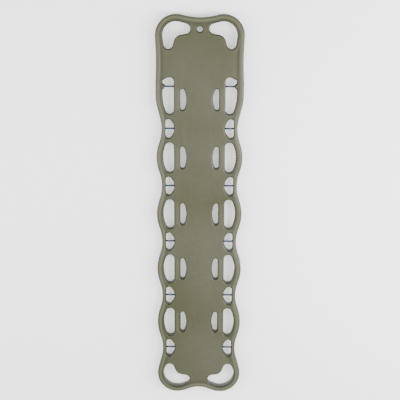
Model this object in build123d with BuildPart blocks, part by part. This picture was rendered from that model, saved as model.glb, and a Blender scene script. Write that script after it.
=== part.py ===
from build123d import *
import os
from math import asin, atan, atan2, ceil, cos, floor, hypot, radians, sin, tau

# The board lies flat with the patient side up, the head end at +Y and its runners on z = 0.
# All sizes are in millimetres.

# Overall size
board_length = 1829.0
board_width = 406.0
board_height = 57.0
runner_height = 12.0
dish_depth = 4.0

# Moulded shell
wall = 2.5
rim_wall = 6.5
kidney_wall = 5.0
top_edge_bevel = 6.0
bottom_edge_bevel = 4.0
cavity_facet_angle = 25.0

# Corners, and the dips in the two ends
head_corner_radius = 95.0
foot_corner_radius = 98.0
foot_corner_inset = 1.5
head_dip = 15.0
foot_dip = 25.0

# Scalloped sides: bulges round the handholds and waists at the clip pins
bulge_inset = 3.0
scallop_depth = 24.4
shoulder_inset = 0.8
shoulder_below_pin = 42.5
shoulder_above_pin = 7.5
side_hollow_inset = 3.8
side_hollow_radius = 1200.0

# Rims and webs between the openings
bulge_rim = 30.6
waist_rim = 17.3
strap_bar = 29.2
row_web = 19.5

# Handholds, strap slots and pin openings
handhold_width = 51.0
handhold_length = 142.0
handhold_end_radius = 20.0
slot_width = 27.9
slot_length = 104.0
slot_end_radius = 10.3
pin_opening_width = 41.1
pin_opening_length = 89.0
pin_opening_end_radius = 14.5

# First row, next to the head: a handhold and a lobe in one opening, with a cusp at its pin
head_zone = 517.5
foot_zone_min = 215.0
first_row_web = 22.5
first_handhold_length = 126.5
first_handhold_gain = 1.3
first_corner_radius = 15.0
first_slot_length = 97.0
first_slot_offset = 67.0
cusp_reach = 12.7
cusp_radius = 7.0
lobe_length = 42.0
lobe_corner_radius = 13.0
lobe_end_radius = 20.0

# Kidney-shaped carrying openings in the four corners
kidney_web = 87.0
kidney_hollow_radius = 39.0
kidney_hollow_gap = 3.0
head_kidney_rim = 33.0
head_side_lobe_radius = 21.5
head_side_lobe_inset = 5.0
head_side_lobe_drop = 39.0
head_centre_lobe_radius = 23.5
head_centre_lobe_rise = 29.5
head_hollow_drop = 35.0
foot_kidney_rim = 28.5
foot_side_lobe_radius = 22.0
foot_side_lobe_inset = 8.5
foot_side_lobe_drop = 28.0
foot_centre_lobe_radius = 24.5
foot_centre_lobe_rise = 34.0
foot_hollow_drop = 31.5

# Hole for hanging the board up
hang_hole_diameter = 25.5
hang_hole_to_head = 67.5

# Runners under the panel
runner_width = 28.0
runner_to_slot = 6.0
runner_end_margin = 100.0
runner_draft_angle = 18.0

# Clip pins, and the solid bosses that hold their squared ends
pin_diameter = 8.0
pin_tenon_width = 5.5
pin_embed = 12.0
pin_shoulder_gap = 0.2
boss_width = 14.0

# Stiffening rods in the foam
rod_diameter = 16.0
rod_end_margin = 115.0
rod_foam_cover = 3.5

# Plugs in the underside that close the foam port and the vents
foam_port_diameter = 24.0
foam_port_to_foot = 260.0
vent_diameter = 12.0
vent_spacing = 900.0

# Share of the largest radius that arcs get where they run into each other
tangent_ease = 0.97

# Places along the length, from the head to the foot
head_end = board_length / 2
row_pitch = handhold_length + pin_opening_length + 2 * row_web
row_count = floor((board_length - head_zone - foot_zone_min) / row_pitch)
waist_rows = [head_end - head_zone - row * row_pitch for row in range(row_count + 1)]
handhold_rows = [y - row_pitch / 2 for y in waist_rows[:-1]]
hang_hole_y = head_end - hang_hole_to_head

# Places across the width, from the rim to the middle
half_width = board_width / 2
bulge_x = half_width - bulge_inset
waist_x = bulge_x - scallop_depth
handhold_outer_x = bulge_x - bulge_rim
handhold_inner_x = handhold_outer_x - handhold_width
slot_outer_x = handhold_inner_x - strap_bar
slot_inner_x = slot_outer_x - slot_width
pin_opening_outer_x = waist_x - waist_rim
pin_opening_inner_x = pin_opening_outer_x - pin_opening_width
runner_x = slot_inner_x - runner_to_slot - runner_width / 2

# First row
first_handhold_end = waist_rows[0] + pin_opening_length / 2 + first_row_web
first_pin_y = first_handhold_end + first_handhold_length
first_slot_y = first_handhold_end + first_slot_offset
first_outer_x = handhold_outer_x + first_handhold_gain
cusp_x = first_outer_x - cusp_reach

# Heights and slopes
dish_slope = dish_depth / (half_width - top_edge_bevel - runner_x)
pin_z = (runner_height + board_height) / 2
rod_z = runner_height + wall + rod_foam_cover + rod_diameter / 2

# Each clip pin crosses an opening at y, from the inner x to the outer x
pin_spans = [(first_pin_y, handhold_inner_x, cusp_x)]
pin_spans += [(y, pin_opening_inner_x, pin_opening_outer_x) for y in waist_rows]
sides = {"left": -1, "right": 1}


def mirrored(circles):
    """The ring of circles on the other side of the board."""
    return [(-x, y, radius) for x, y, radius in reversed(circles)]


def bow_radius(reach, half_length, end_radius):
    """Radius of a bowed side that runs into end arcs and stands out reach beyond their centres."""
    return tangent_ease * (reach**2 + half_length**2 - end_radius**2) / (2 * (reach - end_radius))


def dip_radius(dip, corner_x, corner_radius):
    """Radius of the hollow in an end of the board, which runs into the corners."""
    return tangent_ease * ((corner_x**2 + dip**2) / (2 * dip) - corner_radius)


def d_ring(flat_x, bow_x, middle_y, length, end_radius):
    """Circles of a D-shaped opening with a straight side at flat_x and a bowed side at bow_x."""
    way = 1 if bow_x > flat_x else -1
    end_x = flat_x + way * end_radius
    half_length = length / 2 - end_radius
    bow = bow_radius(abs(bow_x - end_x), half_length, end_radius)
    return [
        (end_x, middle_y + way * half_length, end_radius),
        (end_x, middle_y - way * half_length, end_radius),
        (bow_x - way * bow, middle_y, bow),
    ]


def first_row_ring():
    """Circles of the opening nearest the head, with the cusp that holds its pin."""
    end_x = handhold_inner_x + handhold_end_radius
    end_y = first_handhold_end + handhold_end_radius
    corner_y = first_pin_y - cusp_radius - first_corner_radius
    widest_y = corner_y - first_corner_radius
    bow = bow_radius(first_outer_x - end_x, widest_y - end_y, handhold_end_radius)
    lobe_y = first_pin_y + cusp_radius + lobe_corner_radius
    return [
        (end_x, end_y, handhold_end_radius),
        (first_outer_x - bow, widest_y, bow),
        (first_outer_x - first_corner_radius, corner_y, first_corner_radius),
        (cusp_x + cusp_radius, first_pin_y, -cusp_radius),
        (first_outer_x - lobe_corner_radius, lobe_y, lobe_corner_radius),
        (handhold_inner_x + lobe_end_radius, first_pin_y + lobe_length - lobe_end_radius, lobe_end_radius),
    ]


def head_kidney_ring():
    """Circles of the carrying opening in a head corner."""
    corner_x = half_width - head_corner_radius
    corner_y = head_end - head_corner_radius
    rim_radius = head_corner_radius - head_kidney_rim
    side_x = corner_x + rim_radius - head_side_lobe_inset - head_side_lobe_radius
    centre_x = kidney_web / 2 + head_centre_lobe_radius
    hollow_x = side_x - head_side_lobe_radius - kidney_hollow_radius - kidney_hollow_gap
    return [
        (side_x, corner_y - head_side_lobe_drop, head_side_lobe_radius),
        (corner_x, corner_y, rim_radius),
        (centre_x, corner_y + head_centre_lobe_rise, head_centre_lobe_radius),
        (hollow_x, corner_y - head_hollow_drop, -kidney_hollow_radius),
    ]


def foot_kidney_ring():
    """Circles of the carrying opening in a foot corner."""
    corner_x = half_width - foot_corner_inset - foot_corner_radius
    corner_y = foot_corner_radius - head_end
    rim_radius = foot_corner_radius - foot_kidney_rim
    side_x = corner_x + rim_radius - foot_side_lobe_inset - foot_side_lobe_radius
    centre_x = kidney_web / 2 + foot_centre_lobe_radius
    hollow_x = side_x - foot_side_lobe_radius - kidney_hollow_radius - kidney_hollow_gap
    return [
        (corner_x, corner_y, rim_radius),
        (side_x, corner_y + foot_side_lobe_drop, foot_side_lobe_radius),
        (hollow_x, corner_y + foot_hollow_drop, -kidney_hollow_radius),
        (centre_x, corner_y - foot_centre_lobe_rise, foot_centre_lobe_radius),
    ]


def outline_ring():
    """Circles of the board's outline, counter-clockwise from the dip in the foot end."""
    head_corner = (half_width - head_corner_radius, head_end - head_corner_radius, head_corner_radius)
    foot_corner_x = half_width - foot_corner_inset - foot_corner_radius
    foot_corner = (foot_corner_x, foot_corner_radius - head_end, foot_corner_radius)
    head_hollow = dip_radius(head_dip, head_corner[0], head_corner_radius)
    foot_hollow = dip_radius(foot_dip, foot_corner_x, foot_corner_radius)
    lean = 2 * atan(scallop_depth / (row_pitch / 2))
    scallop = tangent_ease * row_pitch / 4 / sin(lean)
    shoulder_x = half_width - shoulder_inset - scallop
    side = [foot_corner]
    for waist_y, bulge_y in zip(reversed(waist_rows[1:]), reversed(handhold_rows)):
        side.append((waist_x + scallop, waist_y, -scallop))
        side.append((bulge_x - scallop, bulge_y, scallop))
    side.append((waist_x + scallop, waist_rows[0], -scallop))
    side.append((shoulder_x, first_pin_y - shoulder_below_pin, scallop))
    side.append((shoulder_x, first_pin_y + shoulder_above_pin, scallop))
    hollow_x = half_width - side_hollow_inset + side_hollow_radius
    side.append((hollow_x, (first_pin_y + head_corner[1]) / 2, -side_hollow_radius))
    side.append(head_corner)
    head_middle = (0, head_end - head_dip + head_hollow, -head_hollow)
    foot_middle = (0, foot_dip - head_end - foot_hollow, -foot_hollow)
    return [foot_middle] + side + [head_middle] + mirrored(side)


def ring_face(circles, grow=0.0, facet_angle=None):
    """Face inside the line that runs round a ring of circles, as a belt runs round pulleys.

    Each circle is x, y and radius, listed counter-clockwise. One with a negative radius is a
    hollow, which the line passes on its far side. grow moves the whole line outward. With a
    facet angle in degrees, each arc is drawn as chords that turn by at most that much.
    """
    ring = [(x, y, radius + grow) for x, y, radius in circles]
    headings = []
    for (x1, y1, radius1), (x2, y2, radius2) in zip(ring, ring[1:] + ring[:1]):
        lean = asin((radius1 - radius2) / hypot(x2 - x1, y2 - y1))
        headings.append(atan2(y2 - y1, x2 - x1) + lean)

    def touch(index, heading):
        x, y, radius = ring[index % len(ring)]
        return (x + radius * sin(heading), y - radius * cos(heading))

    with BuildSketch() as region:
        with BuildLine():
            for index, (x, y, radius) in enumerate(ring):
                start = headings[index - 1]
                turn = (headings[index] - start) % tau - (tau if radius < 0 else 0)
                arc_end = touch(index, start + turn)
                if facet_angle:
                    steps = ceil(abs(turn) / radians(facet_angle))
                    Polyline([touch(index, start + turn * step / steps) for step in range(steps + 1)])
                else:
                    ThreePointArc(touch(index, start), touch(index, start + turn / 2), arc_end)
                Line(arc_end, touch(index + 1, headings[index]))
        make_face()
    return region.sketch


def both_sides(rings, grow=0.0, facet_angle=None):
    """Faces inside the given rings and inside their mirror images."""
    faces = [ring_face(ring, grow, facet_angle) for ring in rings]
    return faces + [ring_face(mirrored(ring), grow, facet_angle) for ring in rings]


def above_dish(depth_below=0.0):
    """The space above the dished patient side, or above a skin of the given thickness."""
    middle_z = board_height - dish_depth - depth_below
    edge_z = middle_z + dish_slope * (half_width - runner_x)
    with BuildPart() as space:
        with BuildSketch(Plane.XZ):
            with BuildLine():
                Polyline(
                    (-half_width, edge_z),
                    (-runner_x, middle_z),
                    (runner_x, middle_z),
                    (half_width, edge_z),
                    (half_width, 2 * board_height),
                    (-half_width, 2 * board_height),
                    close=True,
                )
            make_face()
        extrude(amount=board_length, both=True)
    return space.part


def bar_across(side, pin_y, profile, start_x, end_x):
    """Bar of the given profile that runs across the board at pin height, on one side of it."""
    with BuildPart() as bar:
        with BuildSketch(Plane.YZ.offset(side * start_x)):
            with Locations((pin_y, pin_z)):
                add(profile)
        extrude(amount=side * (end_x - start_x))
    return bar.part


kidneys = [head_kidney_ring(), foot_kidney_ring()]
slot_rows = [(first_slot_y, first_slot_length)] + [(row_y, slot_length) for row_y in handhold_rows]
slots = [d_ring(slot_outer_x, slot_inner_x, row_y, length, slot_end_radius) for row_y, length in slot_rows]
handholds = [
    d_ring(handhold_inner_x, handhold_outer_x, row_y, handhold_length, handhold_end_radius)
    for row_y in handhold_rows
]
pin_openings = [
    d_ring(pin_opening_outer_x, pin_opening_inner_x, row_y, pin_opening_length, pin_opening_end_radius)
    for row_y in waist_rows
]

# Blocks that stay solid round the openings, each given by its two x and two y
first_row_end = first_pin_y + lobe_length
solid_blocks = [(handhold_inner_x, first_outer_x, first_handhold_end, first_row_end)]
for row_y, length in slot_rows:
    solid_blocks.append((slot_inner_x, slot_outer_x, row_y - length / 2, row_y + length / 2))
for row_y in handhold_rows:
    reach = handhold_length / 2
    solid_blocks.append((handhold_inner_x, handhold_outer_x, row_y - reach, row_y + reach))
for row_y in waist_rows:
    reach = pin_opening_length / 2
    solid_blocks.append((pin_opening_inner_x, waist_x, row_y - reach, row_y + reach))
for pin_y, inner_x, outer_x in pin_spans:
    solid_blocks.append((inner_x - pin_embed, outer_x, pin_y - boss_width / 2, pin_y + boss_width / 2))

# Space inside the shell
with BuildPart() as cavity:
    with BuildSketch(Plane.XY.offset(runner_height + wall)):
        add(ring_face(outline_ring(), -rim_wall, cavity_facet_angle))
        add(both_sides(kidneys, kidney_wall, cavity_facet_angle), mode=Mode.SUBTRACT)
        for x1, x2, y1, y2 in solid_blocks:
            middle_x, middle_y = (x1 + x2) / 2, (y1 + y2) / 2
            with Locations((-middle_x, middle_y), (middle_x, middle_y)):
                Rectangle(x2 - x1 + 2 * wall, y2 - y1 + 2 * wall, mode=Mode.SUBTRACT)
        with Locations((0, hang_hole_y)):
            Rectangle(hang_hole_diameter + 2 * wall, hang_hole_diameter + 2 * wall, mode=Mode.SUBTRACT)
    extrude(amount=board_height)
    add(above_dish(wall), mode=Mode.SUBTRACT)

underside_plugs = {}
for name, plug_y, diameter in (
    ("foam_port_plug", foam_port_to_foot - head_end, foam_port_diameter),
    ("vent_plug_head", vent_spacing / 2, vent_diameter),
    ("vent_plug_foot", -vent_spacing / 2, vent_diameter),
):
    with BuildPart(Location((0, plug_y, runner_height))) as plug:
        Cylinder(diameter / 2, wall, align=(Align.CENTER, Align.CENTER, Align.MIN))
    underside_plugs[name] = plug.part

# Clip pins: round across the opening, with squared ends moulded into the bosses
with BuildSketch() as pin_round:
    Circle(pin_diameter / 2)
with BuildSketch() as pin_square:
    Rectangle(pin_tenon_width, pin_tenon_width)
pin_bars = []
pin_parts = {}
for side_name, side in sides.items():
    for number, (pin_y, inner_x, outer_x) in enumerate(pin_spans, start=1):
        bar = bar_across(side, pin_y, pin_square.sketch, inner_x - pin_embed, outer_x + pin_embed)
        pin_bars.append(bar)
        start_x, end_x = inner_x + pin_shoulder_gap, outer_x - pin_shoulder_gap
        with BuildPart() as clip_pin:
            add(bar)
            add(bar_across(side, pin_y, pin_round.sketch, start_x, end_x))
        pin_parts[f"clip_pin_{side_name}_{number}"] = clip_pin.part

# One-piece moulded shell: bevelled rim, dished top, openings and runners
with BuildPart() as board_shell:
    with BuildSketch(Plane.XY.offset(runner_height)):
        add(ring_face(outline_ring()))
    extrude(amount=board_height - runner_height)
    chamfer(board_shell.faces().sort_by(Axis.Z)[-1].edges(), top_edge_bevel)
    chamfer(board_shell.faces().sort_by(Axis.Z)[0].edges(), bottom_edge_bevel)
    add(above_dish(), mode=Mode.SUBTRACT)
    with BuildSketch(Plane.XY.offset(runner_height)):
        add(both_sides([*kidneys, first_row_ring(), *handholds, *slots, *pin_openings]))
        with Locations((0, hang_hole_y)):
            Circle(hang_hole_diameter / 2)
    extrude(amount=board_height, mode=Mode.SUBTRACT)
    with BuildSketch(Plane.XY.offset(runner_height)):
        with Locations((-runner_x, 0), (runner_x, 0)):
            SlotOverall(board_length - 2 * runner_end_margin, runner_width, rotation=90)
    extrude(amount=runner_height, dir=(0, 0, -1), taper=runner_draft_angle)
    add([cavity.part, *pin_bars, *underside_plugs.values()], mode=Mode.SUBTRACT, clean=False)
board_shell.part.label = "board_shell"

# Stiffening rods along the runners, and the foam that fills the shell round them
rod_half_length = head_end - rod_end_margin
rod_parts = {}
for side_name, side in sides.items():
    with BuildPart() as rod:
        with BuildSketch(Plane.XZ.offset(-rod_half_length)):
            with Locations((side * runner_x, rod_z)):
                Circle(rod_diameter / 2)
        extrude(amount=2 * rod_half_length)
    rod_parts[f"stiffening_rod_{side_name}"] = rod.part
with BuildPart() as foam_core:
    add(cavity.part)
    add(list(rod_parts.values()), mode=Mode.SUBTRACT)
foam_core.part.label = "foam_core"

os.makedirs("parts", exist_ok=True)
export_step(board_shell.part, "parts/board_shell.step")
export_step(foam_core.part, "parts/foam_core.step")
for name, piece in {**rod_parts, **underside_plugs, **pin_parts}.items():
    piece.label = name
    export_step(piece, f"parts/{name}.step")
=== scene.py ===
"""Moulded spine board on a pale studio floor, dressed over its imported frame.

Everything is in metres, in the frame's own axes: the patient side is up, and the head end is +Y.
"""

import logging
import math
from dataclasses import dataclass, field
from enum import Enum

import bpy
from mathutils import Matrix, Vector, geometry, kdtree


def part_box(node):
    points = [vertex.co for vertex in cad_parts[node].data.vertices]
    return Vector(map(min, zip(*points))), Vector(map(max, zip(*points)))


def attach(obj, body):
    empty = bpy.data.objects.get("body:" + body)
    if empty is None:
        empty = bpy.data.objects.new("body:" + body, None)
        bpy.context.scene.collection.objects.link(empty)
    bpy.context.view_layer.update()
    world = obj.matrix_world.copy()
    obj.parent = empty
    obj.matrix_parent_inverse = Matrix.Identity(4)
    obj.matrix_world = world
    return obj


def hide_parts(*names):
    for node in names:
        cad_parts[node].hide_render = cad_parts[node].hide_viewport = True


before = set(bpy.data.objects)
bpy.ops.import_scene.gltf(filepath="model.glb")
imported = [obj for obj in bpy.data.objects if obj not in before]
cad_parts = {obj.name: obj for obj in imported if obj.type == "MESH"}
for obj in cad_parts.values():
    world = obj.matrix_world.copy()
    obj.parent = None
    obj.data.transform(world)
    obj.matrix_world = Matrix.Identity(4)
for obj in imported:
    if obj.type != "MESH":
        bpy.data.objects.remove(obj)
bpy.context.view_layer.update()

log = logging.getLogger("spine_board")

TANGENT_EASE = 0.97
"""Share of an arc's largest radius that is used, so that a short straight joins it to the next."""

Point = tuple[float, float]
Place = tuple[float, float, float]
Colour = tuple[float, float, float]
Face = tuple[int, ...]
Socket = bpy.types.NodeSocket


class Side(Enum):
    """A half of the board, with the sign of its x."""

    LEFT = -1
    RIGHT = 1

    @property
    def word(self) -> str:
        """The half's name in the names of its pieces."""
        return self.name.lower()


class Plug(Enum):
    """The plugs in the underside, by the names of their nodes."""

    FOAM_PORT = "foam_port_plug"
    VENT_HEAD = "vent_plug_head"
    VENT_FOOT = "vent_plug_foot"


@dataclass(frozen=True)
class Circle:
    """A circle that a line of the board runs round. A negative radius is a hollow."""

    x: float
    y: float
    radius: float


@dataclass(frozen=True)
class Station:
    """A place on a line of the board, with the way that points out of the line."""

    x: float
    y: float
    out_x: float
    out_y: float

    def moved(self, distance: float) -> Point:
        """The place that lies a distance out of the line."""
        return (self.x + distance * self.out_x, self.y + distance * self.out_y)


@dataclass(frozen=True)
class Belt:
    """A closed line round circles, as a belt runs round pulleys, counter-clockwise."""

    circles: tuple[Circle, ...]

    def mirrored(self) -> "Belt":
        """The same line on the other half of the board."""
        return Belt(tuple(Circle(-c.x, c.y, c.radius) for c in reversed(self.circles)))

    def polygon(self) -> list[Point]:
        """Corners of the line, close enough together to tell what lies inside it."""
        return [(station.x, station.y) for station in self.stations(0.02)]

    def stations(self, step: float, turn_step: float = math.radians(9)) -> list[Station]:
        """Places along the line.

        Args:
            step: Longest way from one place to the next.
            turn_step: Largest turn from one place to the next, in radians.

        Returns:
            The places, counter-clockwise, with the last not joined to the first.
        """
        ring = self.circles
        headings = []
        for here, there in zip(ring, ring[1:] + ring[:1]):
            dx, dy = there.x - here.x, there.y - here.y
            lean = math.asin((here.radius - there.radius) / math.hypot(dx, dy))
            headings.append(math.atan2(dy, dx) + lean)
        places = []
        for index, circle in enumerate(ring):
            start = headings[index - 1]
            turn = (headings[index] - start) % math.tau - (math.tau if circle.radius < 0 else 0)
            count = math.ceil(max(abs(turn * circle.radius) / step, abs(turn) / turn_step))
            for part in range(count + 1):
                out_x, out_y = math.sin(start + turn * part / count), -math.cos(start + turn * part / count)
                x, y = circle.x + circle.radius * out_x, circle.y + circle.radius * out_y
                places.append(Station(x, y, out_x, out_y))
            here, after = places[-1], ring[(index + 1) % len(ring)]
            end = (after.x + after.radius * here.out_x, after.y + after.radius * here.out_y)
            count = math.ceil(math.dist((here.x, here.y), end) / step)
            for part in range(1, count):
                x = here.x + (end[0] - here.x) * part / count
                y = here.y + (end[1] - here.y) * part / count
                places.append(Station(x, y, here.out_x, here.out_y))
        return places


@dataclass(frozen=True)
class DShape:
    """A D-shaped opening with a straight side and a bowed side."""

    flat_x: float
    bow_x: float
    y: float
    length: float
    end_radius: float

    def belt(self) -> Belt:
        """The opening's line, on the right half of the board."""
        way = 1 if self.bow_x > self.flat_x else -1
        end_x = self.flat_x + way * self.end_radius
        half = self.length / 2 - self.end_radius
        bow = bow_radius(abs(self.bow_x - end_x), half, self.end_radius)
        return Belt((
            Circle(end_x, self.y + way * half, self.end_radius),
            Circle(end_x, self.y - way * half, self.end_radius),
            Circle(self.bow_x - way * bow, self.y, bow),
        ))


@dataclass(frozen=True)
class Kidney:
    """A kidney-shaped carrying opening, set out from a corner of the board."""

    at_head: bool
    rim: float
    side_radius: float
    side_inset: float
    side_drop: float
    centre_radius: float
    centre_rise: float
    hollow_drop: float
    hollow_radius: float = 0.039
    hollow_gap: float = 0.003
    web: float = 0.087

    def belt(self, corner: Circle) -> Belt:
        """The opening's line, on the right half of the board.

        Args:
            corner: The corner of the board that it lies in.

        Returns:
            The line.
        """
        out = 1 if self.at_head else -1
        inner = corner.radius - self.rim
        side_x = corner.x + inner - self.side_inset - self.side_radius
        hollow_x = side_x - self.side_radius - self.hollow_radius - self.hollow_gap
        near_rim = Circle(corner.x, corner.y, inner)
        side = Circle(side_x, corner.y - out * self.side_drop, self.side_radius)
        centre_y = corner.y + out * self.centre_rise
        centre = Circle(self.web / 2 + self.centre_radius, centre_y, self.centre_radius)
        hollow = Circle(hollow_x, corner.y - out * self.hollow_drop, -self.hollow_radius)
        return Belt((side, near_rim, centre, hollow) if self.at_head else (near_rim, side, hollow, centre))


@dataclass(frozen=True)
class Band:
    """A band beside an edge, which swells from one distance to another and then fades."""

    start: float
    full: float
    fade: float
    end: float

    def at(self, distance: float) -> float:
        """How much of the band there is at a distance, from 0 to 1."""
        return smooth(distance, self.start, self.full) * (1 - smooth(distance, self.fade, self.end))


def inside(x: float, y: float, polygon: list[Point]) -> bool:
    """Whether a place lies inside a polygon.

    Args:
        x: Place across the board.
        y: Place along the board.
        polygon: Its corners.

    Returns:
        True inside, and False outside.
    """
    crossings = 0
    for (x1, y1), (x2, y2) in zip(polygon, polygon[1:] + polygon[:1]):
        if (y1 > y) != (y2 > y) and x < x1 + (y - y1) / (y2 - y1) * (x2 - x1):
            crossings += 1
    return crossings % 2 == 1


def bow_radius(reach: float, half_length: float, end_radius: float) -> float:
    """Radius of a bowed side that runs into end arcs.

    Args:
        reach: How far the side stands out beyond the end arcs' centres.
        half_length: Half the distance between those centres.
        end_radius: Radius of the end arcs.

    Returns:
        The radius of the bow.
    """
    return TANGENT_EASE * (reach**2 + half_length**2 - end_radius**2) / (2 * (reach - end_radius))


def dip_radius(dip: float, corner_x: float, corner: float) -> float:
    """Radius of the hollow in an end.

    Args:
        dip: Depth of the hollow.
        corner_x: Where the corner's centre is.
        corner: The corner's radius.

    Returns:
        The radius of the hollow.
    """
    return TANGENT_EASE * ((corner_x**2 + dip**2) / (2 * dip) - corner)


def smooth(value: float, low: float, high: float) -> float:
    """Soft step from 0 at low to 1 at high.

    Args:
        value: Where the step is read.
        low: Where it leaves 0.
        high: Where it reaches 1.

    Returns:
        The height of the step.
    """
    share = min(max((value - low) / (high - low), 0.0), 1.0)
    return share * share * (3 - 2 * share)


def round_drop(distance: float, radius: float) -> float:
    """How far a rounded edge has dropped.

    Args:
        distance: Way in from the edge.
        radius: Radius of the rounding.

    Returns:
        The drop below the flat surface.
    """
    if distance >= radius:
        return 0.0
    return radius - math.sqrt(max(radius**2 - (radius - distance) ** 2, 0.0))


@dataclass
class BoardPlan:
    """The board seen from above: its outline, and its openings on the right half."""

    length: float
    width: float
    head_corner: float = 0.095
    foot_corner: float = 0.098
    foot_inset: float = 0.0015
    head_dip: float = 0.015
    foot_dip: float = 0.025
    bulge_inset: float = 0.003
    scallop_depth: float = 0.0244
    shoulder_inset: float = 0.0008
    shoulder_below_pin: float = 0.0425
    shoulder_above_pin: float = 0.0075
    side_hollow_inset: float = 0.0038
    side_hollow: float = 1.2
    bulge_rim: float = 0.0306
    waist_rim: float = 0.0173
    strap_bar: float = 0.0292
    row_web: float = 0.0195
    handhold_width: float = 0.051
    handhold_length: float = 0.142
    handhold_end: float = 0.020
    slot_width: float = 0.0279
    slot_length: float = 0.104
    slot_end: float = 0.0103
    pin_opening_width: float = 0.0411
    pin_opening_length: float = 0.089
    pin_opening_end: float = 0.0145
    head_zone: float = 0.5175
    handhold_rows: int = 4
    first_web: float = 0.0225
    first_length: float = 0.1265
    first_gain: float = 0.0013
    first_corner: float = 0.015
    first_slot_length: float = 0.097
    first_slot_offset: float = 0.067
    cusp_reach: float = 0.0127
    cusp: float = 0.007
    lobe_length: float = 0.042
    lobe_corner: float = 0.013
    lobe_end: float = 0.020
    hang_hole: float = 0.0255
    hang_hole_to_head: float = 0.0675
    head_kidney: Kidney = Kidney(
        at_head=True, rim=0.033, side_radius=0.0215, side_inset=0.005, side_drop=0.039,
        centre_radius=0.0235, centre_rise=0.0295, hollow_drop=0.035,
    )
    foot_kidney: Kidney = Kidney(
        at_head=False, rim=0.0285, side_radius=0.022, side_inset=0.0085, side_drop=0.028,
        centre_radius=0.0245, centre_rise=0.034, hollow_drop=0.0315,
    )
    pitch: float = field(init=False)
    head: float = field(init=False)
    half: float = field(init=False)
    bulge_x: float = field(init=False)
    waist_x: float = field(init=False)
    hold_out: float = field(init=False)
    hold_in: float = field(init=False)
    slot_out: float = field(init=False)
    slot_in: float = field(init=False)
    pin_out: float = field(init=False)
    pin_in: float = field(init=False)
    first_end: float = field(init=False)
    first_pin: float = field(init=False)
    first_out: float = field(init=False)
    cusp_x: float = field(init=False)
    waists: list[float] = field(init=False)
    bulges: list[float] = field(init=False)

    def __post_init__(self) -> None:
        """Chain the rows along the length and the places across the width."""
        self.pitch = self.handhold_length + self.pin_opening_length + 2 * self.row_web
        self.head = self.length / 2
        first_waist = self.head - self.head_zone
        self.waists = [first_waist - row * self.pitch for row in range(self.handhold_rows + 1)]
        self.bulges = [y - self.pitch / 2 for y in self.waists[:-1]]
        self.half = self.width / 2
        self.bulge_x = self.half - self.bulge_inset
        self.waist_x = self.bulge_x - self.scallop_depth
        self.hold_out = self.bulge_x - self.bulge_rim
        self.hold_in = self.hold_out - self.handhold_width
        self.slot_out = self.hold_in - self.strap_bar
        self.slot_in = self.slot_out - self.slot_width
        self.pin_out = self.waist_x - self.waist_rim
        self.pin_in = self.pin_out - self.pin_opening_width
        self.first_end = self.waists[0] + self.pin_opening_length / 2 + self.first_web
        self.first_pin = self.first_end + self.first_length
        self.first_out = self.hold_out + self.first_gain
        self.cusp_x = self.first_out - self.cusp_reach

    def corners(self) -> tuple[Circle, Circle]:
        """The corners of the head end and of the foot end."""
        head = Circle(self.half - self.head_corner, self.head - self.head_corner, self.head_corner)
        foot_x = self.half - self.foot_inset - self.foot_corner
        return head, Circle(foot_x, self.foot_corner - self.head, self.foot_corner)

    def outline(self) -> Belt:
        """The board's edge: cornered ends with a dip in each, and scalloped sides."""
        head, foot = self.corners()
        lean = 2 * math.atan(self.scallop_depth / (self.pitch / 2))
        scallop = TANGENT_EASE * self.pitch / 4 / math.sin(lean)
        shoulder_x = self.half - self.shoulder_inset - scallop
        side = [foot]
        for waist, bulge in zip(reversed(self.waists[1:]), reversed(self.bulges)):
            side.append(Circle(self.waist_x + scallop, waist, -scallop))
            side.append(Circle(self.bulge_x - scallop, bulge, scallop))
        side.append(Circle(self.waist_x + scallop, self.waists[0], -scallop))
        side.append(Circle(shoulder_x, self.first_pin - self.shoulder_below_pin, scallop))
        side.append(Circle(shoulder_x, self.first_pin + self.shoulder_above_pin, scallop))
        hollow_x = self.half - self.side_hollow_inset + self.side_hollow
        side.append(Circle(hollow_x, (self.first_pin + head.y) / 2, -self.side_hollow))
        side.append(head)
        head_hollow = dip_radius(self.head_dip, head.x, self.head_corner)
        foot_hollow = dip_radius(self.foot_dip, foot.x, self.foot_corner)
        head_middle = Circle(0, self.head - self.head_dip + head_hollow, -head_hollow)
        foot_middle = Circle(0, self.foot_dip - self.head - foot_hollow, -foot_hollow)
        other = Belt(tuple(side)).mirrored().circles
        return Belt((foot_middle, *side, head_middle, *other))

    def first_row(self) -> Belt:
        """The opening nearest the head, with the cusp that its pin runs into."""
        end_x, end_y = self.hold_in + self.handhold_end, self.first_end + self.handhold_end
        corner_y = self.first_pin - self.cusp - self.first_corner
        widest = corner_y - self.first_corner
        bow = bow_radius(self.first_out - end_x, widest - end_y, self.handhold_end)
        lobe_y = self.first_pin + self.cusp + self.lobe_corner
        far_y = self.first_pin + self.lobe_length - self.lobe_end
        return Belt((
            Circle(end_x, end_y, self.handhold_end),
            Circle(self.first_out - bow, widest, bow),
            Circle(self.first_out - self.first_corner, corner_y, self.first_corner),
            Circle(self.cusp_x + self.cusp, self.first_pin, -self.cusp),
            Circle(self.first_out - self.lobe_corner, lobe_y, self.lobe_corner),
            Circle(self.hold_in + self.lobe_end, far_y, self.lobe_end),
        ))

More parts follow.
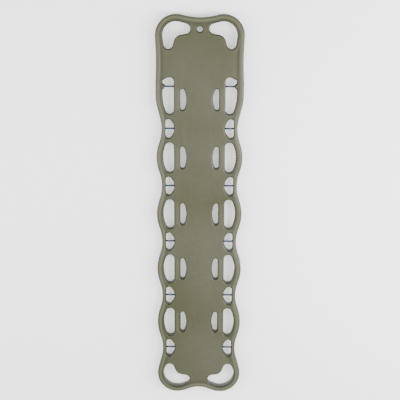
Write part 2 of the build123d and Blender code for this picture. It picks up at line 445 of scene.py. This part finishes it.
    def openings(self) -> list[Belt]:
        """Every opening in the board, on both halves, and the hole for hanging it up."""
        slot_y = self.first_end + self.first_slot_offset
        first_slot = DShape(self.slot_out, self.slot_in, slot_y, self.first_slot_length, self.slot_end)
        head, foot = self.corners()
        right = [self.head_kidney.belt(head), self.foot_kidney.belt(foot)]
        right += [self.first_row(), first_slot.belt()]
        for y in self.bulges:
            handhold = DShape(self.hold_in, self.hold_out, y, self.handhold_length, self.handhold_end)
            slot = DShape(self.slot_out, self.slot_in, y, self.slot_length, self.slot_end)
            right += [handhold.belt(), slot.belt()]
        for y in self.waists:
            length, end = self.pin_opening_length, self.pin_opening_end
            right.append(DShape(self.pin_out, self.pin_in, y, length, end).belt())
        hole, y = self.hang_hole / 2, self.head - self.hang_hole_to_head
        # A belt needs two circles, so the round hole's line runs round a pair that nearly coincide.
        apart, radius = hole / 20, hole * 0.95
        middle = Belt((Circle(-apart, y, radius), Circle(apart, y, radius)))
        return right + [belt.mirrored() for belt in right] + [middle]


class NodeTree:
    """A material's node tree, with short ways to add the nodes that the finishes share."""

    def __init__(self, name: str) -> None:
        """Start an empty material.

        Args:
            name: The material's name.
        """
        self.material = bpy.data.materials.new(name)
        self.material.use_nodes = True
        self.nodes = self.material.node_tree.nodes
        self.links = self.material.node_tree.links
        self.shader = self.nodes["Principled BSDF"]
        self.places = self.nodes.new("ShaderNodeTexCoord").outputs["Object"]

    def link(self, source: Socket, target: Socket) -> None:
        """Join an output to an input."""
        self.links.new(source, target)

    def stretched(self, scale: Place) -> Socket:
        """Places squeezed along each axis.

        Args:
            scale: How much each axis is squeezed.

        Returns:
            The squeezed places.
        """
        mapping = self.nodes.new("ShaderNodeMapping")
        mapping.inputs["Scale"].default_value = scale
        self.link(self.places, mapping.inputs["Vector"])
        return mapping.outputs["Vector"]

    def noise(self, scale: float, detail: float = 3.0, places: Socket | None = None) -> Socket:
        """Cloudy noise.

        Args:
            scale: Clouds in a metre.
            detail: Octaves of finer clouds.
            places: Where it is read, or the object's own places.

        Returns:
            The noise, about 0.5.
        """
        node = self.nodes.new("ShaderNodeTexNoise")
        node.inputs["Scale"].default_value = scale
        node.inputs["Detail"].default_value = detail
        self.link(places or self.places, node.inputs["Vector"])
        return node.outputs["Fac"]

    def spread(self, source: Socket, low: float, high: float, out_low: float, out_high: float) -> Socket:
        """Map a range of a value onto another, clamped.

        Args:
            source: The value.
            low: Start of its range.
            high: End of its range.
            out_low: What low becomes.
            out_high: What high becomes.

        Returns:
            The mapped value.
        """
        node = self.nodes.new("ShaderNodeMapRange")
        for name, value in (("From Min", low), ("From Max", high), ("To Min", out_low), ("To Max", out_high)):
            node.inputs[name].default_value = value
        self.link(source, node.inputs["Value"])
        return node.outputs["Result"]

    def blend(self, share: Socket, first: Socket | Colour, second: Socket | Colour) -> Socket:
        """Blend two colours.

        Args:
            share: How much of the second shows.
            first: A colour, as a socket or a value.
            second: A colour, as a socket or a value.

        Returns:
            The blended colour.
        """
        node = self.nodes.new("ShaderNodeMix")
        node.data_type = "RGBA"
        self.link(share, node.inputs["Factor"])
        for socket, colour in ((node.inputs[6], first), (node.inputs[7], second)):
            if isinstance(colour, tuple):
                socket.default_value = (*colour, 1.0)
            else:
                self.link(colour, socket)
        return node.outputs[2]

    def bump(self, height: Socket, strength: float, depth: float, below: Socket | None = None) -> Socket:
        """Raise a surface by a height.

        Args:
            height: The height.
            strength: How much of it shows.
            depth: Real depth of a full height.
            below: The bump that this one lies on.

        Returns:
            The bumped normal.
        """
        node = self.nodes.new("ShaderNodeBump")
        node.inputs["Strength"].default_value = strength
        node.inputs["Distance"].default_value = depth
        self.link(height, node.inputs["Height"])
        if below:
            self.link(below, node.inputs["Normal"])
        return node.outputs["Normal"]


@dataclass(frozen=True)
class MouldedPolyethylene:
    """Satin rotationally moulded plastic: mottled olive with a fine moulding grain, and painted highlight and
    painted shade read from the mesh.
    """

    name: str = "olive polyethylene"
    olive: Colour = (0.041, 0.042, 0.0145)
    grey_olive: Colour = (0.060, 0.061, 0.036)
    # Painted highlight colour for the rim's crest and the strap bars, then painted shade colour for the edges
    # and the rim's groove.
    painted_light: Colour = (0.115, 0.116, 0.066)
    shaded: Colour = (0.009, 0.010, 0.004)
    scuffed: Colour = (0.11, 0.11, 0.07)
    mottle_shade: float = 0.72
    roughness: float = 0.46
    specular: float = 0.42

    def material(self) -> bpy.types.Material:
        """Build the finish."""
        tree = NodeTree(self.name)
        clouds = tree.spread(tree.noise(2.6, 2.0), 0.36, 0.64, 0.0, 1.0)
        colour = tree.blend(clouds, self.olive, self.grey_olive)
        mottle = tree.spread(tree.noise(55, 4.0), 0.3, 0.7, 0.0, 0.22)
        colour = tree.blend(mottle, colour, tuple(c * self.mottle_shade for c in self.olive))
        scuffs = tree.noise(70, 3.0, tree.stretched((1.0, 0.06, 1.0)))
        colour = tree.blend(tree.spread(scuffs, 0.62, 0.8, 0.0, 0.16), colour, self.scuffed)
        # Painted light and shade from the mesh's value: above 0 blends in the painted highlight, below 0 the
        # painted shade.
        attribute = tree.nodes.new("ShaderNodeAttribute")
        attribute.attribute_name = "painted_shading"
        painted_shading = attribute.outputs["Fac"]
        colour = tree.blend(tree.spread(painted_shading, 0.0, 1.0, 0.0, 0.8), colour, self.painted_light)
        colour = tree.blend(tree.spread(painted_shading, 0.0, -1.0, 0.0, 0.85), colour, self.shaded)
        tree.link(colour, tree.shader.inputs["Base Color"])
        rough = tree.spread(tree.noise(34, 3.0), 0.3, 0.7, self.roughness - 0.06, self.roughness + 0.07)
        tree.link(rough, tree.shader.inputs["Roughness"])
        ripple = tree.bump(tree.noise(22, 1.0), 0.25, 0.0006)
        grain = tree.bump(tree.noise(900, 2.0), 0.30, 0.00012, ripple)
        tree.link(grain, tree.shader.inputs["Normal"])
        tree.shader.inputs["Specular IOR Level"].default_value = self.specular
        return tree.material


@dataclass(frozen=True)
class FilledNylon:
    """Glass-filled nylon of the clip pins, dark blue with faint drawn streaks."""

    name: str = "blue nylon"
    blue: Colour = (0.007, 0.042, 0.090)
    pale: Colour = (0.022, 0.085, 0.140)
    roughness: float = 0.34

    def material(self) -> bpy.types.Material:
        """Build the finish."""
        tree = NodeTree(self.name)
        streaks = tree.noise(900, 3.0, tree.stretched((0.05, 1.0, 1.0)))
        colour = tree.blend(tree.spread(streaks, 0.4, 0.75, 0.0, 0.5), self.blue, self.pale)
        tree.link(colour, tree.shader.inputs["Base Color"])
        rough = tree.spread(streaks, 0.3, 0.7, self.roughness - 0.05, self.roughness + 0.1)
        tree.link(rough, tree.shader.inputs["Roughness"])
        tree.link(tree.bump(streaks, 0.2, 0.00005), tree.shader.inputs["Normal"])
        return tree.material


@dataclass(frozen=True)
class RigidFoam:
    """Closed-cell foam inside the shell."""

    name: str = "rigid foam"
    cream: Colour = (0.72, 0.60, 0.34)
    amber: Colour = (0.58, 0.44, 0.20)

    def material(self) -> bpy.types.Material:
        """Build the finish."""
        tree = NodeTree(self.name)
        cells = tree.nodes.new("ShaderNodeTexVoronoi")
        cells.inputs["Scale"].default_value = 1100
        tree.link(tree.places, cells.inputs["Vector"])
        colour = tree.blend(cells.outputs["Distance"], self.cream, self.amber)
        tree.link(colour, tree.shader.inputs["Base Color"])
        tree.link(tree.bump(cells.outputs["Distance"], 0.6, 0.0004), tree.shader.inputs["Normal"])
        tree.shader.inputs["Roughness"].default_value = 0.92
        return tree.material


@dataclass(frozen=True)
class DrawnCarbon:
    """Pultruded carbon fibre of the stiffening rods, black with long fibres."""

    name: str = "drawn carbon"
    black: Colour = (0.012, 0.012, 0.013)
    fibre: Colour = (0.050, 0.050, 0.055)

    def material(self) -> bpy.types.Material:
        """Build the finish."""
        tree = NodeTree(self.name)
        fibres = tree.noise(1400, 2.0, tree.stretched((1.0, 0.01, 1.0)))
        colour = tree.blend(tree.spread(fibres, 0.4, 0.7, 0.0, 1.0), self.black, self.fibre)
        tree.link(colour, tree.shader.inputs["Base Color"])
        tree.link(tree.bump(fibres, 0.3, 0.00004), tree.shader.inputs["Normal"])
        tree.shader.inputs["Roughness"].default_value = 0.3
        return tree.material


def add_mesh(
    name: str,
    points: list[Place],
    faces: list[Face],
    material: bpy.types.Material,
    nodes: list[str],
    painted_shading: list[float] | None = None,
) -> None:
    """Add a smooth mesh piece that rides on the board.

    Args:
        name: The piece's name.
        points: Its vertices.
        faces: Its faces, as tuples of vertex numbers.
        material: Its finish.
        nodes: The frame's nodes that it stands for.
        painted_shading: Painted light and shade at each vertex, from -1 for full painted shade to 1 for full
            painted highlight.
    """
    mesh = bpy.data.meshes.new(name)
    mesh.from_pydata(points, [], faces)
    # The painted light and shade is kept as a value on each vertex for the shell's finish.
    if painted_shading:
        mesh.attributes.new("painted_shading", "FLOAT", "POINT").data.foreach_set("value", painted_shading)
    mesh.polygons.foreach_set("use_smooth", [True] * len(mesh.polygons))
    mesh.materials.append(material)
    mesh.validate()
    piece = bpy.data.objects.new(name, mesh)
    bpy.context.scene.collection.objects.link(piece)
    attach(piece, "root")
    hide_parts(*nodes)
    log.info("built %s with %d faces", name, len(mesh.polygons))


def lofted(loops: list[list[Place]]) -> tuple[list[Place], list[Face]]:
    """Skin between loops of points, closed at both ends.

    Args:
        loops: Loops with the same number of points.

    Returns:
        The vertices and the faces.
    """
    count = len(loops[0])
    points = [point for loop in loops for point in loop]
    faces = []
    last = (len(loops) - 1) * count
    for row in range(0, last, count):
        for index in range(count):
            after = (index + 1) % count
            faces.append((row + index, row + after, row + count + after, row + count + index))
    faces.append(tuple(reversed(range(count))))
    faces.append(tuple(range(last, last + count)))
    return points, faces


@dataclass
class Layout:
    """Points of the panel in plan, before they are joined into triangles."""

    flat: list[Vector] = field(default_factory=list)
    ways: list[Point] = field(default_factory=list)
    links: list[tuple[int, int]] = field(default_factory=list)
    edges: list[tuple[list[int], int]] = field(default_factory=list)

    def add(self, x: float, y: float, to_rim: float, to_hole: float) -> int:
        """Add a place with its ways to the rim and to the nearest opening, and return its number."""
        self.flat.append(Vector((x, y)))
        self.ways.append((to_rim, to_hole))
        return len(self.flat) - 1


@dataclass
class Shell:
    """The moulded shell: rounded rim and openings, dished patient side, and runners."""

    plan: BoardPlan
    floor_z: float
    top_z: float
    runner_height: float = 0.012
    dish_depth: float = 0.004
    dish_flat: float = 0.0413
    rim_round: float = 0.012
    dip_round: float = 0.008
    opening_round: float = 0.0075
    under_rim_round: float = 0.008
    under_opening_round: float = 0.006
    groove_depth: float = 0.0022
    groove: Band = Band(start=0.013, full=0.024, fade=0.026, end=0.060)
    groove_from_opening: tuple[float, float] = (0.007, 0.016)
    dip_from_end: tuple[float, float] = (0.06, 0.03)
    dip_across: tuple[float, float] = (0.045, 0.075)
    # Band and strength of the painted highlight along the rim's crest.
    crest: Band = Band(start=0.006, full=0.012, fade=0.016, end=0.022)
    crest_from_opening: tuple[float, float] = (0.002, 0.006)
    crest_highlight: float = 0.55
    # Band and darkness of the painted shade in the rim's groove, and how far the painted shade reaches in
    # from every edge.
    trough: Band = Band(start=0.019, full=0.024, fade=0.026, end=0.036)
    trough_shade: float = 0.45
    edge_shade_reach: tuple[float, float] = (0.0015, 0.0055)
    # Spread and strength of the painted highlight along the middle of each strap bar.
    bar_across: tuple[float, float] = (0.003, 0.008)
    bar_along: tuple[float, float] = (0.044, 0.056)
    bar_highlight: float = 0.3
    edge_bevel: float = 0.006
    edge_turns: tuple[int, ...] = (0, 14, 28, 42, 56, 72, 90)
    rim_depths: tuple[float, ...] = (0.017, 0.021, 0.025, 0.031, 0.038)
    opening_depths: tuple[float, ...] = (0.0115, 0.016)
    step: float = 0.005
    fill_step: float = 0.014
    fill_from_rim: float = 0.045
    fill_from_opening: float = 0.022
    depth_slack: float = 0.0003
    least_gap: float = 0.0012
    gap_share: float = 0.6
    join_within: float = 1e-6
    runner_width: float = 0.028
    runner_end_margin: float = 0.100
    runner_draft: float = math.radians(18)
    runner_step: float = 0.03
    rim: Belt = field(init=False)
    holes: list[Belt] = field(init=False)
    rim_tree: kdtree.KDTree = field(init=False)
    hole_tree: kdtree.KDTree = field(init=False)
    rim_polygon: list[Point] = field(init=False)
    hole_polygons: list[list[Point]] = field(init=False)
    slope: float = field(init=False)

    def __post_init__(self) -> None:
        """Set out the lines of the board, and the trees that measure the way to them."""
        self.rim = self.plan.outline()
        self.holes = self.plan.openings()
        self.rim_tree = self.tree([self.rim])
        self.hole_tree = self.tree(self.holes)
        self.rim_polygon = self.rim.polygon()
        self.hole_polygons = [hole.polygon() for hole in self.holes]
        self.slope = self.dish_depth / (self.plan.half - self.edge_bevel - self.dish_flat)

    def tree(self, belts: list[Belt], step: float = 0.0012) -> kdtree.KDTree:
        """A tree that finds the nearest point of some lines.

        Args:
            belts: The lines.
            step: Way between the points.

        Returns:
            The balanced tree.
        """
        places = [s for belt in belts for s in belt.stations(step, math.radians(3))]
        tree = kdtree.KDTree(len(places))
        for index, place in enumerate(places):
            tree.insert((place.x, place.y, 0), index)
        tree.balance()
        return tree

    def to_rim(self, x: float, y: float) -> float:
        """Way to the board's edge."""
        return self.rim_tree.find((x, y, 0))[2]

    def to_hole(self, x: float, y: float) -> float:
        """Way to the nearest opening."""
        return self.hole_tree.find((x, y, 0))[2]

    def on_board(self, x: float, y: float) -> bool:
        """Whether a place is on the panel, and in none of its openings."""
        in_hole = any(inside(x, y, hole) for hole in self.hole_polygons)
        return inside(x, y, self.rim_polygon) and not in_hole

    def upper(self, x: float, y: float, rim: float, hole: float) -> float:
        """Height of the patient side.

        Args:
            x: Place across the board.
            y: Place along the board.
            rim: Way in from the edge.
            hole: Way from the nearest opening.

        Returns:
            The height.
        """
        dish = self.top_z - self.dish_depth + self.slope * max(abs(x) - self.dish_flat, 0.0)
        groove = self.groove.at(rim) * smooth(hole, *self.groove_from_opening)
        near_end = smooth(abs(y), *(self.plan.head - margin for margin in self.dip_from_end))
        at_dip = near_end * (1 - smooth(abs(x), *self.dip_across))
        rim_round = self.rim_round + (self.dip_round - self.rim_round) * at_dip
        drop = round_drop(rim, rim_round) + round_drop(hole, self.opening_round) + self.groove_depth * groove
        return min(dish, self.top_z) - drop

    def painted_shading(self, x: float, y: float, rim: float, hole: float) -> float:
        """Painted light and shade on the patient side.

        Args:
            x: Place across the board.
            y: Place along the board.
            rim: Way in from the edge.
            hole: Way from the nearest opening.

        Returns:
            1 for the full painted highlight on the rim's crest and strap bars, and -1 for the full painted
            shade at the edges and in the groove.
        """
        # Painted highlight on the rim's crest and along the strap bars.
        crest = self.crest.at(rim) * smooth(hole, *self.crest_from_opening)
        # Painted shade along every edge and in the rim's groove.
        edge_shade = 1 - smooth(min(rim, hole), *self.edge_shade_reach)
        trough = self.trough_shade * self.trough.at(rim)
        rows = [*self.plan.bulges, self.plan.first_end + self.plan.first_slot_offset]
        along = min(abs(y - row) for row in rows)
        bar_x = (self.plan.hold_in + self.plan.slot_out) / 2
        across = abs(abs(x) - bar_x)
        bar = (1 - smooth(across, *self.bar_across)) * (1 - smooth(along, *self.bar_along))
        return max(-1.0, self.crest_highlight * crest + self.bar_highlight * bar - edge_shade - trough)

    def lower(self, rim: float, hole: float) -> float:
        """Height of the underside.

        Args:
            rim: Way in from the edge.
            hole: Way from the nearest opening.

        Returns:
            The height.
        """
        base = self.floor_z + self.runner_height
        return base + round_drop(rim, self.under_rim_round) + round_drop(hole, self.under_opening_round)

    def build(self, material: bpy.types.Material) -> None:
        """Build the panel and its runners.

        Args:
            material: The shell's finish.
        """
        self.build_panel(material)
        for side in Side:
            self.build_runner(side, material)

    def depths(self, inward: int) -> list[float]:
        """How far each loop of points lies from its edge.

        Args:
            inward: 1 round an opening, or -1 round the board.

        Returns:
            The distances, closer together where the edge is rounded.
        """
        radius = self.rim_round if inward < 0 else self.opening_round
        rounded = [radius * (1 - math.cos(math.radians(turn))) for turn in self.edge_turns]
        return rounded + list(self.rim_depths if inward < 0 else self.opening_depths)

    def lay_out(self) -> Layout:
        """Lay the panel's points out in plan, as loops beside every edge and a grid between them."""
        layout = Layout()
        for belt, inward in [(self.rim, -1), *((hole, 1) for hole in self.holes)]:
            stations = belt.stations(self.step)
            for depth in self.depths(inward):
                loop = [self.add_beside(station, inward, depth, layout) for station in stations]
                for here, there in zip(loop, loop[1:] + loop[:1]):
                    if here is not None and there is not None:
                        layout.links.append((here, there))
                if not depth:
                    layout.edges.append((loop, inward))
        for x, y in self.grid():
            to_rim, to_hole = self.to_rim(x, y), self.to_hole(x, y)
            if to_rim > self.fill_from_rim and to_hole > self.fill_from_opening and self.on_board(x, y):
                layout.add(x, y, to_rim, to_hole)
        return layout

    def add_beside(self, station: Station, inward: int, depth: float, layout: Layout) -> int | None:
        """Add a point beside an edge, unless it comes too near another part of an edge.

        Args:
            station: The place on the edge.
            inward: 1 round an opening, or -1 round the board.
            depth: The point's distance from the edge.
            layout: The points so far.

        Returns:
            The point's number, or None where it is left out.
        """
        x, y = station.moved(inward * depth)
        to_rim, to_hole = self.to_rim(x, y), self.to_hole(x, y)
        own, other = (to_rim, to_hole) if inward < 0 else (to_hole, to_rim)
        crowded = own < depth - self.depth_slack or other < max(self.least_gap, depth * self.gap_share)
        if depth and crowded:
            return None
        return layout.add(x, y, depth, to_hole) if inward < 0 else layout.add(x, y, to_rim, depth)

    def grid(self) -> list[Point]:
        """Evenly spaced places over the whole board."""
        rows = int(self.plan.length / self.fill_step)
        columns = int(self.plan.width / self.fill_step)
        across = [(column - columns / 2) * self.fill_step for column in range(columns + 1)]
        along = [(row - (rows - 1) / 2) * self.fill_step for row in range(rows)]
        return [(x, y) for y in along for x in across]

    def build_panel(self, material: bpy.types.Material) -> None:
        """Build the panel from one plan that serves both of its faces.

        Args:
            material: The shell's finish.
        """
        layout = self.lay_out()
        joined = geometry.delaunay_2d_cdt(layout.flat, layout.links, [], 0, self.join_within)
        spots, _, triangles, origins, _, _ = joined
        log.info("plan has %d points and %d triangles", len(spots), len(triangles))
        number_of = {}
        upper, lower, painted_light = [], [], []
        for index, (spot, origin) in enumerate(zip(spots, origins)):
            for source in origin:
                number_of[source] = index
            rim, hole = layout.ways[origin[0]] if origin else (self.to_rim(*spot), self.to_hole(*spot))
            upper.append((spot.x, spot.y, self.upper(spot.x, spot.y, rim, hole)))
            # Painted light and shade on the patient side only; the underside and walls get 0 below.
            painted_light.append(self.painted_shading(spot.x, spot.y, rim, hole))
            lower.append((spot.x, spot.y, self.lower(rim, hole)))
        edge = {number_of[number] for loop, _ in layout.edges for number in loop}
        kept = [corners for corners in triangles if not edge.issuperset(corners)]
        count = len(spots)
        points = upper + lower
        faces = [tuple(corners) for corners in kept]
        faces += [tuple(count + corner for corner in reversed(corners)) for corners in kept]
        for loop, inward in layout.edges:
            faces += self.wall([number_of[number] for number in loop], inward, count, points)
        painted_light += [0.0] * (len(points) - count)
        add_mesh("shell_panel", points, faces, material, ["board_shell"], painted_light)

    def wall(self, loop: list[int], inward: int, count: int, points: list[Place]) -> list[Face]:
        """Faces of the upright wall between the two faces' edges.

        Args:
            loop: Numbers of the edge's points in the plan.
            inward: 1 round an opening, or -1 round the board.
            count: How many points the plan has.
            points: All the points, to which the wall's middle ones are added.

        Returns:
            The wall's faces.
        """
        middle = len(points)
        for number in loop:
            x, y, upper = points[number]
            points.append((x, y, (upper + points[count + number][2]) / 2))
        faces = []
        for index, here in enumerate(loop):
            after = (index + 1) % len(loop)
            there = loop[after]
            foot, waist, head = (count + here, count + there), (middle + index, middle + after), (here, there)
            for low, high in ((foot, waist), (waist, head)):
                quad = (low[0], low[1], high[1], high[0])
                faces.append(quad if inward < 0 else tuple(reversed(quad)))
        return faces

    def build_runner(self, side: Side, material: bpy.types.Material) -> None:
        """Build a runner under the panel.

        Args:
            side: The half of the board that it is on.
            material: The shell's finish.
        """
        end = self.plan.length / 2 - self.runner_end_margin - self.runner_width / 2
        x = side.value * self.dish_flat
        belt = Belt((Circle(x, -end, self.runner_width / 2), Circle(x, end, self.runner_width / 2)))
        stations = belt.stations(self.runner_step)
        draft = math.tan(self.runner_draft)
        levels = [
            (0.0, self.runner_height + 0.001),
            (0.0, self.runner_height),
            (-draft * 0.010, 0.002),
            (-draft * 0.011 - 0.0004, 0.0009),
            (-draft * 0.0118 - 0.0012, 0.0002),
            (-draft * 0.012 - 0.0022, 0.0),
        ]
        loops = []
        for grow, z in levels:
            loops.append([(*station.moved(grow), self.floor_z + z) for station in stations])
        points, faces = lofted(loops[::-1])
        add_mesh(f"runner_{side.word}", points, faces, material, ["board_shell"])


@dataclass
class ClipPins:
    """The pins that strap clips hook onto, one across each outer opening in a waist."""

    pairs: int = 6
    corners: int = 28
    end_share: float = 0.1

    def build(self, material: bpy.types.Material) -> None:
        """Build every pin from its node's box.

        Args:
            material: The pins' finish.
        """
        for side in Side:
            for number in range(1, self.pairs + 1):
                self.build_pin(f"clip_pin_{side.word}_{number}", material)

    def build_pin(self, node: str, material: bpy.types.Material) -> None:
        """Build a round pin with its ends sunk in the shell.

        Args:
            node: The pin's node.
            material: The pin's finish.
        """
        low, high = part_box(node)
        middle, radius = (low + high) / 2, (high.z - low.z) / 2
        inset = (high.x - low.x) * self.end_share
        loops = []
        for x in (low.x + inset, middle.x, high.x - inset):
            ring = []
            for corner in range(self.corners):
                angle = math.tau * corner / self.corners
                ring.append((x, middle.y + radius * math.cos(angle), middle.z + radius * math.sin(angle)))
            loops.append(ring)
        points, faces = lofted(loops)
        add_mesh(node.removeprefix("clip_"), points, faces, material, [node])


@dataclass
class UndersidePlugs:
    """Domed plugs that close the foam port and the vents in the underside."""

    proud: float = 0.0009
    sunk: float = 0.0012
    corners: int = 48

    def profile(self) -> list[Point]:
        """Shares of a plug's radius, each with how far it stands out of the underside."""
        face, ring = self.proud, 0.45 * self.proud
        rounded = [(1.0, -self.sunk), (1.0, 0.3 * face), (0.97, 0.75 * face), (0.9, face)]
        return rounded + [(0.78, face), (0.74, ring), (0.68, ring), (0.64, face), (0.3, face)]

    def build(self, material: bpy.types.Material) -> None:
        """Build every plug from its node's box.

        Args:
            material: The plugs' finish.
        """
        for plug in Plug:
            low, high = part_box(plug.value)
            middle, radius = (low + high) / 2, (high.x - low.x) / 2
            loops = []
            for share, drop in self.profile():
                ring = []
                for corner in range(self.corners):
                    angle = -math.tau * corner / self.corners
                    x = middle.x + share * radius * math.cos(angle)
                    y = middle.y + share * radius * math.sin(angle)
                    ring.append((x, y, low.z - drop))
                loops.append(ring)
            points, faces = lofted(loops)
            add_mesh(f"button_{plug.value}", points, faces, material, [plug.value])


@dataclass
class InnerParts:
    """The foam and the rods inside the shell, which keep the frame's own shapes."""

    def dress(self) -> None:
        """Give the hidden nodes their finishes."""
        foam, carbon = RigidFoam().material(), DrawnCarbon().material()
        self.put_on("foam_core", foam)
        for side in Side:
            self.put_on(f"stiffening_rod_{side.word}", carbon)

    def put_on(self, node: str, material: bpy.types.Material) -> None:
        """Dress one node.

        Args:
            node: The node's name.
            material: Its finish.
        """
        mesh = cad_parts[node].data
        mesh.materials.clear()
        mesh.materials.append(material)
        log.info("dressed %s", node)


@dataclass(frozen=True)
class Softbox:
    """A soft rectangular light that points at the middle of the floor."""

    name: str
    place: Place
    size: tuple[float, float]
    power: float

    def hang(self) -> None:
        """Hang the light and point it."""
        data = bpy.data.lights.new(self.name, "AREA")
        data.shape = "RECTANGLE"
        data.size, data.size_y = self.size
        data.energy = self.power
        light = bpy.data.objects.new(self.name, data)
        bpy.context.scene.collection.objects.link(light)
        light.location = self.place
        light.rotation_euler = (-Vector(self.place)).to_track_quat("-Z", "Y").to_euler()


@dataclass
class Studio:
    """Pale floor, soft lights and the camera over the head end."""

    camera_place: Place = (0.0380, 0.9404, 3.8341)
    camera_turn: Place = (-13.0763, 0.5744, 0.2243)
    focal_length: float = 74.46
    floor_reach: float = 9.0
    floor_glow: float = 0.5
    air_strength: float = 1.45

    def build(self) -> None:
        """Set up the floor, the lights and the camera."""
        self.build_floor()
        self.build_lights()
        self.build_camera()

    def build_floor(self) -> None:
        """Lay the floor under the board."""
        tree = NodeTree("studio floor")
        tree.shader.inputs["Base Color"].default_value = (0.97, 0.97, 0.97, 1)
        tree.shader.inputs["Roughness"].default_value = 0.9
        tree.shader.inputs["Emission Color"].default_value = (1, 1, 1, 1)
        tree.shader.inputs["Emission Strength"].default_value = self.floor_glow
        reach = self.floor_reach
        mesh = bpy.data.meshes.new("studio_floor")
        corners = [(-reach, -reach, 0), (reach, -reach, 0), (reach, reach, 0), (-reach, reach, 0)]
        mesh.from_pydata(corners, [], [(0, 1, 2, 3)])
        mesh.materials.append(tree.material)
        floor = bpy.data.objects.new("studio_floor", mesh)
        bpy.context.scene.collection.objects.link(floor)

    def build_lights(self) -> None:
        """Hang the soft lights and set the pale surroundings."""
        world = bpy.data.worlds.new("studio air")
        world.use_nodes = True
        air = world.node_tree.nodes["Background"]
        air.inputs["Color"].default_value = (1, 1, 1, 1)
        air.inputs["Strength"].default_value = self.air_strength
        bpy.context.scene.world = world
        Softbox("right_softbox", place=(2.4, 0.2, 1.9), size=(0.7, 3.6), power=190).hang()
        Softbox("left_softbox", place=(-2.6, 0.2, 2.2), size=(0.7, 3.4), power=95).hang()

    def build_camera(self) -> None:
        """Set the camera where the picture was taken from."""
        data = bpy.data.cameras.new("camera")
        data.sensor_width = 36.0
        data.lens = self.focal_length
        camera = bpy.data.objects.new("camera", data)
        camera.location = self.camera_place
        camera.rotation_euler = tuple(math.radians(angle) for angle in self.camera_turn)
        bpy.context.scene.collection.objects.link(camera)
        bpy.context.scene.camera = camera


def main() -> None:
    """Build the board and its studio."""
    logging.basicConfig(level=logging.INFO, format="%(message)s")
    low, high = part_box("board_shell")
    plan = BoardPlan(length=high.y - low.y, width=high.x - low.x)
    polyethylene = MouldedPolyethylene().material()
    Shell(plan, floor_z=low.z, top_z=high.z).build(polyethylene)
    ClipPins().build(FilledNylon().material())
    UndersidePlugs().build(MouldedPolyethylene(name="plug polyethylene", roughness=0.4).material())
    InnerParts().dress()
    Studio().build()


if __name__ == "__main__":
    main()
